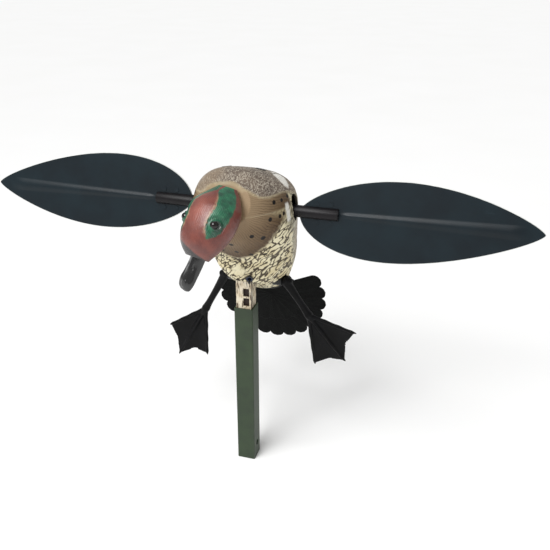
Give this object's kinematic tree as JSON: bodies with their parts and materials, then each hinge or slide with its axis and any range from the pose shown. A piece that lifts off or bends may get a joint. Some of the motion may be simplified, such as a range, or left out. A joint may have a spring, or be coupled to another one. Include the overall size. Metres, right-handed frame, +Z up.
{
  "type": "motion wing decoy",
  "caption": "Hollow drake teal decoy in a landing posture on a square pole, with shaft-driven spinning wing blades, webbed legs, a fanned tail and a battery hatch.",
  "frame": {"origin": "centre of the square pole's lower end, where the next pole section joins", "axes": "+Z up along the pole, the duck faces -Y, +X is the duck's left, along the wing shaft"},
  "size_m": [0.586, 0.2167, 0.3637],
  "materials": {
    "pole_green": "satin olive green paint on aluminium tube",
    "body_paint": "blow-moulded plastic, airbrushed tan, grey and cream with dark vermiculation and spots",
    "head_paint": "chestnut paint with a green patch, low sheen",
    "bill_gloss": "glossy black",
    "eye_gloss": "glossy dark brown glass-like eye",
    "tail_black": "matt black moulded feathers",
    "screw_steel": "zinc plated",
    "spigot_cream": "cream moulded plastic with dark streaks",
    "frame_grey": "grey moulded plastic",
    "bush_bronze": "sintered bronze",
    "motor_steel": "plated drawn steel",
    "cap_ivory": "ivory plastic",
    "cell_blue": "printed metal sleeve with a plain copper band",
    "contact_nickel": "nickel plated spring steel",
    "switch_blue": "blue phenolic body",
    "lead_red": "red insulation",
    "trim_black": "black moulded plastic",
    "nylon_white": "natural nylon",
    "shaft_steel": "ground steel",
    "wing_slate": "dark slate blue front, off-white back",
    "hub_black": "black moulded plastic",
    "leg_rubber": "dark grey soft rubber"
  },
  "bodies": {
    "pole": {"pole_tube": "pole_green"},
    "decoy": {"body_shell": "body_paint", "head": "head_paint", "bill": "bill_gloss", "eyes": "eye_gloss", "tail_fan": "tail_black", "tail_screws": "screw_steel", "spigot": "spigot_cream", "spigot_screws": "screw_steel", "motor_frame": "frame_grey", "frame_screws": "screw_steel", "shaft_bush_left": "bush_bronze", "shaft_bush_right": "bush_bronze", "motor_can": "motor_steel", "motor_end_cap": "cap_ivory", "motor_screws": "screw_steel", "battery_tray": "trim_black", "battery_cells": "cell_blue", "contact_plates": "contact_nickel", "contact_springs": "contact_nickel", "switch_body": "switch_blue", "switch_nut": "screw_steel", "leads": "lead_red", "hip_socket_left": "trim_black", "hip_socket_right": "trim_black", "body_hinge_leaf": "trim_black", "hinge_pin": "shaft_steel"},
    "hatch": {"hatch_lid": "body_paint", "lid_hinge_leaf": "trim_black"},
    "latch_left": {"hatch_latch_left": "trim_black"},
    "latch_right": {"hatch_latch_right": "trim_black"},
    "switch_toggle": {"switch_lever": "screw_steel"},
    "rotor": {"wing_shaft": "shaft_steel", "drive_gear": "nylon_white", "shaft_collars": "shaft_steel", "drive_pins": "shaft_steel"},
    "motor_rotor": {"motor_shaft": "shaft_steel", "pinion": "nylon_white"},
    "left_wing": {"left_wing_blade": "wing_slate", "left_wing_hub": "hub_black", "left_wing_rivets": "hub_black"},
    "right_wing": {"right_wing_blade": "wing_slate", "right_wing_hub": "hub_black", "right_wing_rivets": "hub_black"},
    "left_foot": {"left_leg": "leg_rubber"},
    "right_foot": {"right_leg": "leg_rubber"}
  },
  "joints": [
    {"name": "decoy_lift", "type": "slide", "parent": "pole", "child": "decoy", "axis": [0, 0, 1], "range_m": [0, 0.07]},
    {"name": "wing_spin", "type": "hinge", "parent": "decoy", "child": "rotor", "pos_m": [0, 0.0025, 0.3155], "axis": [1, 0, 0], "continuous": true},
    {"name": "motor_spin", "type": "hinge", "parent": "decoy", "child": "motor_rotor", "pos_m": [0, 0.0025, 0.2895], "axis": [1, 0, 0], "continuous": true},
    {"name": "left_wing_pull", "type": "slide", "parent": "rotor", "child": "left_wing", "axis": [1, 0, 0], "range_m": [0, 0.05]},
    {"name": "right_wing_pull", "type": "slide", "parent": "rotor", "child": "right_wing", "axis": [-1, 0, 0], "range_m": [0, 0.05]},
    {"name": "hatch_hinge", "type": "hinge", "parent": "decoy", "child": "hatch", "pos_m": [0, 0.0812, 0.2719], "axis": [-1, 0, 0], "range_deg": [0, 105]},
    {"name": "latch_left_turn", "type": "hinge", "parent": "hatch", "child": "latch_left", "pos_m": [0.018, 0, 0.3565], "axis": [0.1736, 0.2382, 0.9556], "range_deg": [0, 90]},
    {"name": "latch_right_turn", "type": "hinge", "parent": "hatch", "child": "latch_right", "pos_m": [-0.018, 0, 0.3565], "axis": [0.1736, -0.2382, -0.9556], "range_deg": [0, 90]},
    {"name": "switch_throw", "type": "hinge", "parent": "decoy", "child": "switch_toggle", "pos_m": [0.00768, -0.00964, 0.24104], "axis": [0.9744, 0.225, 0], "range_deg": [-24, 0]},
    {"name": "left_leg_swing", "type": "hinge", "parent": "decoy", "child": "left_foot", "pos_m": [0.0315, 0.0335, 0.221], "axis": [1, 0, 0], "range_deg": [-35, 10]},
    {"name": "right_leg_swing", "type": "hinge", "parent": "decoy", "child": "right_foot", "pos_m": [-0.0315, 0.0335, 0.221], "axis": [1, 0, 0], "range_deg": [-25, 15]}
  ],
  "couplings": [
    {"joint": "motor_spin", "follows": "wing_spin", "ratio": -3.3333}
  ]
}
